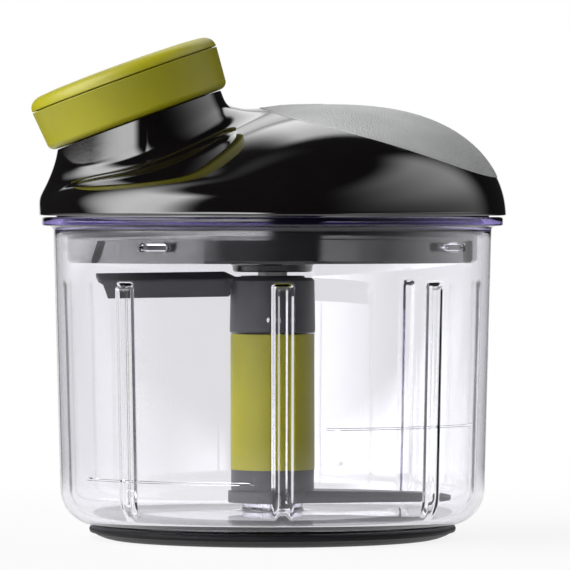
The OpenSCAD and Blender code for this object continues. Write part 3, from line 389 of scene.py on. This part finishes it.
def moulded(name, colour, rough, grain, depth, spread=0.06, scuffs=0.5, ior=1.5, specular=0.5,
            polished=False):
    """Moulded plastic or rubber: drift and scuffs change colour and roughness, the grain is its bump."""
    material, tree = plain_material(name)
    given = {"Grain Scale": grain, "Scuff Share": scuffs}
    look = put(tree, "ShaderNodeGroup", given, node_tree=moulded_surface).outputs
    drifted = mixed(tree, look["Drift"], shade(colour, 1 - spread), shade(colour, 1 + spread))
    spotted = between(tree, look["Grain"], 0.3, 0.7, rough * 0.9, rough * 1.1)
    body = put(tree, "ShaderNodeBsdfPrincipled", {
        "Base Color": mixed(tree, product(tree, look["Scuff"], 0.25), drifted, shade(colour, 1.5, 0.03)),
        "Roughness": maths(tree, "MULTIPLY_ADD", look["Scuff"], 0.12, spotted),
        "Normal": raised(tree, look["Grain"], depth, 0.0004),
        "IOR": ior, "Specular IOR Level": specular})
    if polished:
        body.inputs["Coat Weight"].default_value = 1
        body.inputs["Coat Roughness"].default_value = 0.02
    show(tree, body)
    return material


def turned(profile, steps=256):
    """Rings of points: each profile point (r, z) turned in even steps about the Z axis."""
    a = np.linspace(0, 2 * np.pi, steps, endpoint=False)
    r, z = profile[:, :1], profile[:, 1:]
    return np.stack([r * np.cos(a), r * np.sin(a), z + 0 * a], -1)


foot_in_r, foot_top = 40.0, foot_h - seat_gap
bead_at_r, bead_z, bead_r = 52.7, 2.75, 1.2
foot_profile = np.concatenate([
    [[foot_in_r, foot_top], [foot_in_r, 0.6]], arc(foot_in_r + 0.6, 0.6, 0.6, 180, 270, 3)[1:],
    [[48.3, 0.0], [49.7, 0.35], [51.6, 1.1], [53.0, 2.0]],
    arc(bead_at_r, bead_z, bead_r, -40, 40, 6), [[52.9, foot_top]]])
foot = grid_mesh("foot", turned(foot_profile), closed=True)
foot_rubber = moulded("foot_rubber", (0.008, 0.008, 0.009), rough=0.45, grain=2200, depth=0.25,
                      spread=0.15, specular=0.15)
finish_piece(foot, foot_rubber, "bowl", "foot_ring", angle=50)

# Dome: one gloss black moulding, from its lower edge over the egg-shaped crown and the low shelf
# up the leaning neck, to the cup that takes the handle's spigot.
lean = math.radians(20)
part_x, part_z = -43.6, rim_h + 40.5
dome_z, dome_r, dome_t, dome_hem = rim_h + 0.4, 68.7, 2.6, 0.45
crown_h, crown_x = 32.5, 15.0
neck_r, neck_top = 25.6, -12.8
cup_floor, cup_floor_t, cup_r, cord_hole_r = neck_top - 10, 2.6, 22.6, 4.0
cup_under = cup_floor - cup_floor_t
flare_from, flare_sooner, flare_l = 28, 15, 22


def smooth_max(a, b, k):
    """The larger of a and b, with h^2 k/4 added where they are within k of each other."""
    h = np.maximum(k - np.abs(a - b), 0) / k
    return np.maximum(a, b) + h * h * k / 4


def edge_reach(c, s, r):
    """Way from the crown to the circle of radius r in the direction (c, s)."""
    return -crown_x * c + np.sqrt(r * r - (crown_x * s) ** 2)


def body_z(x, y, r=dome_r, h=crown_h):
    """Height of the crown and the shelf, added as fourth powers, joined to the saddle by smooth_max.

    With f the share of the way from the crown to the edge and c the cosine of its direction, the crown
    is h (1 - f^(2.1 + 0.5c))^(0.5 + 0.8((1 - c)/2)^3) and the shelf 0.36 h w (1 - f^12)^0.5, where w
    grows toward the neck. The saddle starts 0.7 below the crown's top, falls by y^2/44 to both sides,
    by 0.07 a millimetre toward the neck, and along parabolas past its two ends.
    """
    d = np.hypot(x - crown_x, y) + 1e-9
    c, s = (x - crown_x) / d, y / d
    f = np.minimum(d / edge_reach(c, s, r), 1)
    crown = np.maximum(1 - f ** (2.1 + 0.5 * c), 0) ** (0.5 + 0.8 * ((1 - c) / 2) ** 3)
    shelf = 0.36 * ramp(0.3 - c, 0, 0.9) * np.sqrt(np.maximum(1 - f ** 12, 0))
    saddle = (dome_z + h - 0.7 - y * y / 44 - 0.07 * np.maximum(2 - x, 0) - np.maximum(x - 2, 0) ** 2 / 60
              - np.maximum(-12 - x, 0) ** 2 / 40)
    return smooth_max(dome_z + h * (crown ** 4 + shelf ** 4) ** 0.25, saddle, 4)


def plane_z(x, along):
    """Height over x of the plane that is that far along the neck's axis."""
    return part_z + (along + (x - part_x) * math.sin(lean)) / math.cos(lean)


def dome_top(x, y):
    """Height of the dome: body_z joined to the neck's wall, whose height is found by halving.

    The neck's radius grows by 0.55 s + 0.03 s^2 over the way s below the start of its flare.
    """
    low, high = np.full_like(x, dome_z - 6), plane_z(x, neck_top)
    for _ in range(26):
        z = (low + high) / 2
        u = (x - part_x) * math.cos(lean) + (z - part_z) * math.sin(lean)
        along = (z - part_z) * math.cos(lean) - (x - part_x) * math.sin(lean)
        r = np.hypot(u, y)
        start = flare_from - flare_sooner * np.maximum(-u / np.maximum(r, 0.01), 0) ** 2
        s = np.clip(-along - start, 0, flare_l)
        over = r > neck_r + 0.55 * s + 0.03 * s * s
        high, low = np.where(over, z, high), np.where(over, low, z)
    z = smooth_max(body_z(x, y), (low + high) / 2, 2 + 2 * np.minimum(np.abs(y) / 20, 1))
    return np.minimum(z, plane_z(x, neck_top))


def neck_points(u, v, along):
    """The object's points for points of the neck's frame, whose axis leans toward -X."""
    x = part_x + u * math.cos(lean) - along * math.sin(lean)
    z = part_z + u * math.sin(lean) + along * math.cos(lean)
    return np.stack([x, v + 0 * x, z + 0 * v], -1)


ray_count, ray_steps, ray_rows = 420, 480, 120
around = np.linspace(0, 2 * np.pi, ray_count, endpoint=False)
cos_a, sin_a = np.cos(around), np.sin(around)


def ring(r, along):
    """A circle of radius r at a distance along the neck."""
    return neck_points(r * cos_a, r * sin_a, along + 0 * cos_a)


# The outside runs in rays from the neck's top edge to the dome's, closest together at both ends.
# Each is then spaced evenly by its length.
from_x = part_x - neck_top * math.sin(lean) + neck_r * math.cos(lean) * cos_a
from_y = neck_r * sin_a
onward = from_x * cos_a + from_y * sin_a
ray_l = -onward + np.sqrt(onward ** 2 - from_x ** 2 - from_y ** 2 + dome_r ** 2)
near_share, far_share = 0.09, 0.97
share = np.concatenate([
    np.linspace(0, near_share ** 0.5, 160) ** 2, np.linspace(near_share, far_share, 300)[1:],
    1 - np.linspace((1 - far_share) ** 0.5, 0, 60)[1:] ** 2])
x, y = from_x + share[:, None] * ray_l * cos_a, from_y + share[:, None] * ray_l * sin_a
z = np.maximum(dome_top(x, y), dome_z + dome_hem)
z[0] = plane_z(x[0], neck_top) - 0.12
z[-1] = dome_z + dome_hem
ray = np.stack([x, y, z], -1)
step_lengths = np.linalg.norm(np.diff(ray, axis=0), axis=2)
walked = np.concatenate([np.zeros((1, ray_count)), np.cumsum(step_lengths, axis=0)])
even_share = np.linspace(0, 1, ray_steps)
even = np.array([[np.interp(even_share * walked[-1, i], walked[:, i], ray[:, i, k]) for k in range(3)]
                 for i in range(ray_count)])
surface_l = walked[-1][:, None]
even_step = surface_l / (ray_steps - 1)


def rounded(line, sigma):
    """The rays averaged along themselves, weights exp(-d^2 / 2 sigma^2), mirrored through both ends."""
    result, weights = line.copy(), 1.0
    for step in range(1, 64):
        weight = np.exp(-0.5 * (step * even_step / sigma) ** 2)[:, None]
        before = np.concatenate([2 * line[:, :, :1] - line[:, :, step:0:-1], line[:, :, :-step]], 2)
        after = np.concatenate([line[:, :, step:], 2 * line[:, :, -1:] - line[:, :, -2:-step - 2:-1]], 2)
        result, weights = result + weight * (before + after), weights + 2 * weight
    return result / weights


# Corners are rounded by 4.2 mm near the neck's foot and by 1.5 mm elsewhere.
gone = even_share * surface_l
at_foot = (ramp(gone, 2, 9) * (1 - ramp(gone, 30, 46)) * ramp(surface_l - gone, 5, 16))[:, None]
smooth = rounded(even, 1.5) * (1 - at_foot) + rounded(even, 4.2) * at_foot
outside = smooth[:, :, np.linspace(0, ray_steps - 1, ray_rows).astype(int)].transpose(2, 0, 1)
cup = [ring(r, along) for r, along in (
    (cord_hole_r, cup_under), (cord_hole_r, cup_floor), (cup_r - 0.6, cup_floor),
    (cup_r - 0.2, cup_floor + 0.2), (cup_r, cup_floor + 0.6), (cup_r, neck_top - 0.5),
    (cup_r + 0.15, neck_top - 0.15), (cup_r + 0.5, neck_top), (neck_r - 0.5, neck_top),
    (neck_r - 0.15, neck_top - 0.04))]
edge = outside[-1][:, :2] / dome_r
hem = [np.concatenate([edge * (dome_r - inward), np.full((ray_count, 1), dome_z + up)], 1)
       for inward, up in ((0.06, 0.18), (0.25, 0.02), (0.6, 0), (dome_t, 0))]
inside = []
for k in np.linspace(0.04, 1, 26)[:-1]:
    flat = edge * (dome_r - dome_t) * (1 - k) + ring(cord_hole_r, cup_under)[:, :2] * k
    x, y = flat[:, 0], flat[:, 1]
    z = np.minimum(body_z(x, y, dome_r - dome_t, crown_h - dome_t), plane_z(x, cup_under))
    inside.append(np.stack([x, y, np.maximum(z, dome_z + 0.1)], -1))
dome = grid_mesh("dome", np.array([*cup, *outside, *hem, *inside]), closed=True)
black_gloss = moulded("black_gloss", (0.0042, 0.0034, 0.0034), rough=0.07, grain=500, depth=0.012,
                      spread=0.1, scuffs=0.35, ior=1.58, polished=True)
finish_piece(dome, black_gloss, "lid", "lid_dome", angle=42)

# Palm grip: soft-touch skin moulded over the crown, leaf-shaped with its tip toward the neck, a
# rounded edge just proud of the gloss dome and a fine dotted grain.
# The leaf's edge is a share of the way from the crown to the dome's edge, least toward the neck.
leaf_tip, leaf_far, skin_up, skin_down = 0.227, 0.952, 0.22, -0.8
leaf = leaf_tip + (leaf_far - leaf_tip) * (1 - np.abs(np.sin(around / 2)) ** 4.2) ** 2.4
leaf_reach = leaf * edge_reach(cos_a, sin_a, dome_r)
skin = [(k, skin_up) for k in np.linspace(0.004, 0.985, 60)] + [
    (0.990, 0.2), (0.994, 0.15), (0.9975, 0.07), (1.0, -0.05), (1.001, -0.4), (0.99, skin_down)] + [
    (k, skin_down) for k in np.linspace(0.9, 0.004, 12)]
levels = []
for k, up in skin:
    x, y = crown_x + k * leaf_reach * cos_a, k * leaf_reach * sin_a
    levels.append(np.stack([x, y, dome_top(x, y) + up], -1))
grip = grid_mesh("palm_grip_skin", np.array(levels))
# Its light grey is partly the skin's own colour and partly painted sheen: the light from behind, glancing
# off the top, is put into the base colour.
soft_touch = moulded("soft_touch", (0.46, 0.465, 0.47), rough=0.46, grain=1900, depth=0.9,
                     spread=0.1, scuffs=0.3, specular=0.9)
tree = soft_touch.node_tree
dots = put(tree, "ShaderNodeTexVoronoi", {"Vector": object_point(tree), "Scale": 1100.0}).outputs["Distance"]
pimples = raised(tree, between(tree, dots, 0.1, 0.5, 1.0, 0.0), 0.35, 0.0005,
                 Normal=tree.nodes["Bump"].outputs[0])
tree.links.new(pimples, tree.nodes["Principled BSDF"].inputs["Normal"])
finish_piece(grip, soft_touch, "lid", "palm_grip", angle=50)

# Handle: two olive-green halves either side of a fine parting line, the lower one with a rounded
# bottom edge, the upper one a shallow domed cap.
green_plastic = moulded("green_plastic", (0.385, 0.36, 0.005), rough=0.4, grain=2000, depth=0.1,
                        spread=0.05, specular=0.6)
handle_r, low_r, base_t, shell_t, parting = 28.75, 27.85, 12.15, 2.2, 0.35
cord_bore_r, lip_r, lip_in_r, lip_top = 1.6, 26.4, 24.2, 1.0
bottom = -(base_t + parting)


def turned_on_neck(name, profile):
    """A closed profile of (radius, way along the neck) turned about the neck's leaning axis."""
    rings = turned(profile)
    return grid_mesh(name, neck_points(rings[..., 0], rings[..., 1], rings[..., 2]), closed=True)


base_profile = np.concatenate([
    [[cord_bore_r, bottom], [14, bottom]],
    arc(low_r - shell_t, bottom + shell_t, shell_t, -90, -8, 10),
    [[handle_r - 0.04, -parting - 0.25]], arc(handle_r - 0.2, -parting - 0.2, 0.2, 0, 90, 3),
    [[lip_r + 0.2, -parting], [lip_r, -parting + 0.1], [lip_r, lip_top], [lip_in_r, lip_top],
     [lip_in_r, bottom + shell_t + 1], [lip_in_r - 1, bottom + shell_t], [cord_bore_r, bottom + shell_t]]])
handle_base = turned_on_neck("handle_lower", base_profile)
finish_piece(handle_base, green_plastic, "handle", "handle_base", angle=40)
cap_profile = np.array([
    [lip_r, 0.02], [28.6, 0], [28.72, 0.06], [handle_r, 0.2], [28.7, 0.6], [28.57, 1.2], [28.35, 1.7],
    [28.0, 2.25], [27.55, 2.65], [27.0, 3.05], [26.35, 3.35], [25.6, 3.55], [24.75, 3.68], [20.75, 4.0],
    [13.75, 4.25], [6.75, 4.37], [pole_r, 4.4], [pole_r, 2.2], [20, 2.0], [lip_r, 1.4]])
handle_cap = turned_on_neck("handle_upper", cap_profile)
finish_piece(handle_cap, green_plastic, "handle", "handle_cap", angle=40)

# Arbor, lid base and the drive inside the lid: they keep the CAD's surfaces. Moulded parts are
# dark, green or white plastic, pins, screws, blade and springs are steel, the seal is rubber. Metal
# has drawn or ground lines across Z and faint stains.
drawn_metal = bpy.data.node_groups.new("drawn_metal", "ShaderNodeTree")
drawn_metal.interface.new_socket(name="Line Scale", in_out="INPUT", socket_type="NodeSocketFloat")
for label in ("Lines", "Stain"):
    drawn_metal.interface.new_socket(name=label, in_out="OUTPUT", socket_type="NodeSocketFloat")
tree = drawn_metal
asked = put(tree, "NodeGroupInput").outputs
place = object_point(tree)
pulled = put(tree, "ShaderNodeMapping", {"Vector": place, "Scale": (0.04, 0.04, 1.0)}).outputs[0]
put(tree, "NodeGroupOutput", {
    "Lines": noise(tree, pulled, asked["Line Scale"], 2.0, 0.6),
    "Stain": between(tree, noise(tree, place, 130.0, 3.0), 0.35, 0.7)})


def metal(name, colour, rough, line_scale=6000.0):
    """Drawn or ground metal: fine lines change roughness and normal, stains the colour."""
    material, tree = plain_material(name)
    look = put(tree, "ShaderNodeGroup", {"Line Scale": line_scale}, node_tree=drawn_metal).outputs
    show(tree, put(tree, "ShaderNodeBsdfPrincipled", {
        "Base Color": mixed(tree, look["Stain"], shade(colour, 1), shade(colour, 0.86)),
        "Roughness": between(tree, look["Lines"], 0.3, 0.7, rough * 0.7, rough * 1.3),
        "Normal": raised(tree, look["Lines"], 0.12, 0.0003),
        "Metallic": 1}))
    return material


dark_plastic = moulded("dark_plastic", (0.052, 0.052, 0.058), rough=0.42, grain=2000, depth=0.35,
                       spread=0.08, scuffs=0.6)
base_plastic = moulded("base_plastic", (0.01, 0.01, 0.011), rough=0.35, grain=1600, depth=0.05,
                       spread=0.1, scuffs=0.6, specular=0.2, polished=True)
green_sleeve = moulded("green_sleeve", (0.33, 0.31, 0.005), rough=0.4, grain=2000, depth=0.12,
                       spread=0.05, scuffs=0.6)
white_plastic = moulded("white_plastic", (0.72, 0.71, 0.68), rough=0.4, grain=1800, depth=0.3,
                        spread=0.04, scuffs=0.6)
bridge_plastic = moulded("bridge_plastic", (0.05, 0.05, 0.055), rough=0.5, grain=1500, depth=0.4,
                         spread=0.08, scuffs=0.6)
seal_rubber = moulded("seal_rubber", (0.014, 0.014, 0.014), rough=0.5, grain=1500, depth=0.4, spread=0.12)
ground_steel = metal("ground_steel", (0.6, 0.6, 0.61), rough=0.24)
zinc_plate = metal("zinc_plate", (0.62, 0.63, 0.66), rough=0.34, line_scale=3000.0)
spring_steel = metal("spring_steel", (0.34, 0.35, 0.38), rough=0.28, line_scale=9000.0)
made_of = (
    (dark_plastic, ("arbor_core", "arbor_hub", "blade_carrier", "paddle_cap")),
    (base_plastic, ("lid_base",)),
    (green_sleeve, ("arbor_sleeve",)),
    (white_plastic, ("drive_bushing", "cord_spool", "drive_shaft", "ratchet_disc", "guide_roller")),
    (bridge_plastic, ("spool_bridge",)),
    (seal_rubber, ("seal_ring",)),
    (ground_steel, ("pivot_pin", "chopping_blade", "cap_pin", "spool_axle", "guide_pin", "cord_ferrule")),
    (zinc_plate, ("lid_screws", "bridge_screws", "handle_screws", "guide_bracket", "cord_eyelet")),
    (spring_steel, ("recoil_spring",)),
)
for material, names in made_of:
    for name in names:
        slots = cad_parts[name].data.materials
        slots.clear()
        slots.append(material)

# Clutch spring: three coils of 0.8 mm steel wire with closed ends between the drive's flange and the
# ratchet disc, which presses them together as it slides down its shaft.
wire_r, coil_r, coils, flat_share, slip = 0.4, 7.0, 3, 1 / 9, 1.6
spring_low, spring_high = (corner[2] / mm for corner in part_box("clutch_spring"))
share = np.linspace(0, 1, 181)[:, None]
a = 2 * np.pi * coils * share
b = np.linspace(0, 2 * np.pi, 14, endpoint=False)
way_up = np.clip((share - flat_share) / (1 - 2 * flat_share), 0, 1)
r = coil_r + wire_r * np.cos(b)
z = spring_low + wire_r + (spring_high - spring_low - 2 * wire_r) * way_up + wire_r * np.sin(b)
spring = grid_mesh("clutch_coil", np.stack([r * np.cos(a), r * np.sin(a), z], -1))
finish_piece(spring, spring_steel, "drive", "clutch_spring", angle=60)
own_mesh(spring)

# Pull cord: braided polyester cord, just over 2 mm thick. It is wound on the spool, runs to the
# roller, turns up the neck and ends in the ferrule in the handle; most is on the spool at rest.
wind_r, wind_z, pitch, cord_r = 18.0, 96.1, 2.7, 1.06
roller_xy, roller_z, turn_r, rise_x = np.array([-30.543, 2.629]), 101.2, 5.1, -34.913
ferrule_at, shown_from = -5.8, -12.6
strand_count, strand_turn, strand_d = 4, 1.6, 0.09
leave_angle = 180 - math.degrees(math.acos(wind_r / -rise_x))
# The wound stretch goes in parts of 20 degrees, 18 to a turn.
wound_parts = np.arange(49.5, 0.5, -0.05)
b = np.radians(leave_angle - wound_parts * 20)
wound = np.stack([wind_r * np.cos(b), wind_r * np.sin(b), wind_z + wound_parts * pitch / 18], 1)
leave = wind_r * np.array([math.cos(math.radians(leave_angle)), math.sin(math.radians(leave_angle))])
run = np.array([rise_x, 0]) - leave
run_l = float(np.hypot(*run))
run /= run_l
gone = np.arange(0, run_l - turn_r, 0.4)[:, None]
straight = np.concatenate([leave + gone * run, np.full((len(gone), 1), wind_z)], 1)
b = np.radians(np.arange(0, 91, 4))[:, None]
bend = np.concatenate([roller_xy + turn_r * np.sin(b) * run, roller_z - turn_r * np.cos(b)], 1)
k = np.linspace(0.05, 1, 30)[:, None]
rise = np.array([rise_x, 0, roller_z + 0.5]) * (1 - k) + neck_points(0, 0, cup_under) * k
along = np.linspace(cup_under, ferrule_at, 420)[1:]
centre = np.concatenate([wound, straight, bend, rise, neck_points(0 * along, 0 * along, along)])
tangent = np.gradient(centre, axis=0)
tangent /= np.linalg.norm(tangent, axis=1)[:, None]
side = np.cross(tangent, [0.3, 0.9, 0.31])
side /= np.linalg.norm(side, axis=1)[:, None]
up = np.cross(side, tangent)
b = np.linspace(0, 2 * np.pi, 40, endpoint=False)
way = np.concatenate([[0], np.cumsum(np.linalg.norm(np.diff(centre, axis=0), axis=1))])[:, None]
strands = np.maximum(np.sin(strand_count * b + strand_turn * way),
                     np.sin(strand_count * b - strand_turn * way))
radius = cord_r - strand_d + strand_d * np.sqrt(np.clip(0.5 + 0.5 * strands, 0, 1))
skin = centre[:, None] + radius[..., None] * (
    np.cos(b)[None, :, None] * side[:, None] + np.sin(b)[None, :, None] * up[:, None])
cord = grid_mesh("braided_cord", skin)
strand_height = cord.data.attributes.new("strand", "FLOAT", "POINT")
strand_height.data.foreach_set("value", strands.astype(np.float32).ravel())
# The strands' crowns are light and the hollows between them dark: painted shade, masked by the strand
# heights stored on the mesh.
cord_with_painted_shade, tree = plain_material("cord")
strand = put(tree, "ShaderNodeAttribute", attribute_name="strand").outputs["Fac"]
lint = noise(tree, object_point(tree), 3200.0, 3.0)
show(tree, put(tree, "ShaderNodeBsdfPrincipled", {
    "Base Color": mixed(tree, between(tree, strand, 0.1, 0.9), (0.42, 0.4, 0.34, 1), (0.7, 0.68, 0.6, 1)),
    "Roughness": between(tree, lint, 0.3, 0.7, 0.65, 0.85),
    "Normal": raised(tree, lint, 0.2, 0.0001)}))
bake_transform(cord)
finish_piece(cord, cord_with_painted_shade, None, "pull_cord", angle=80)
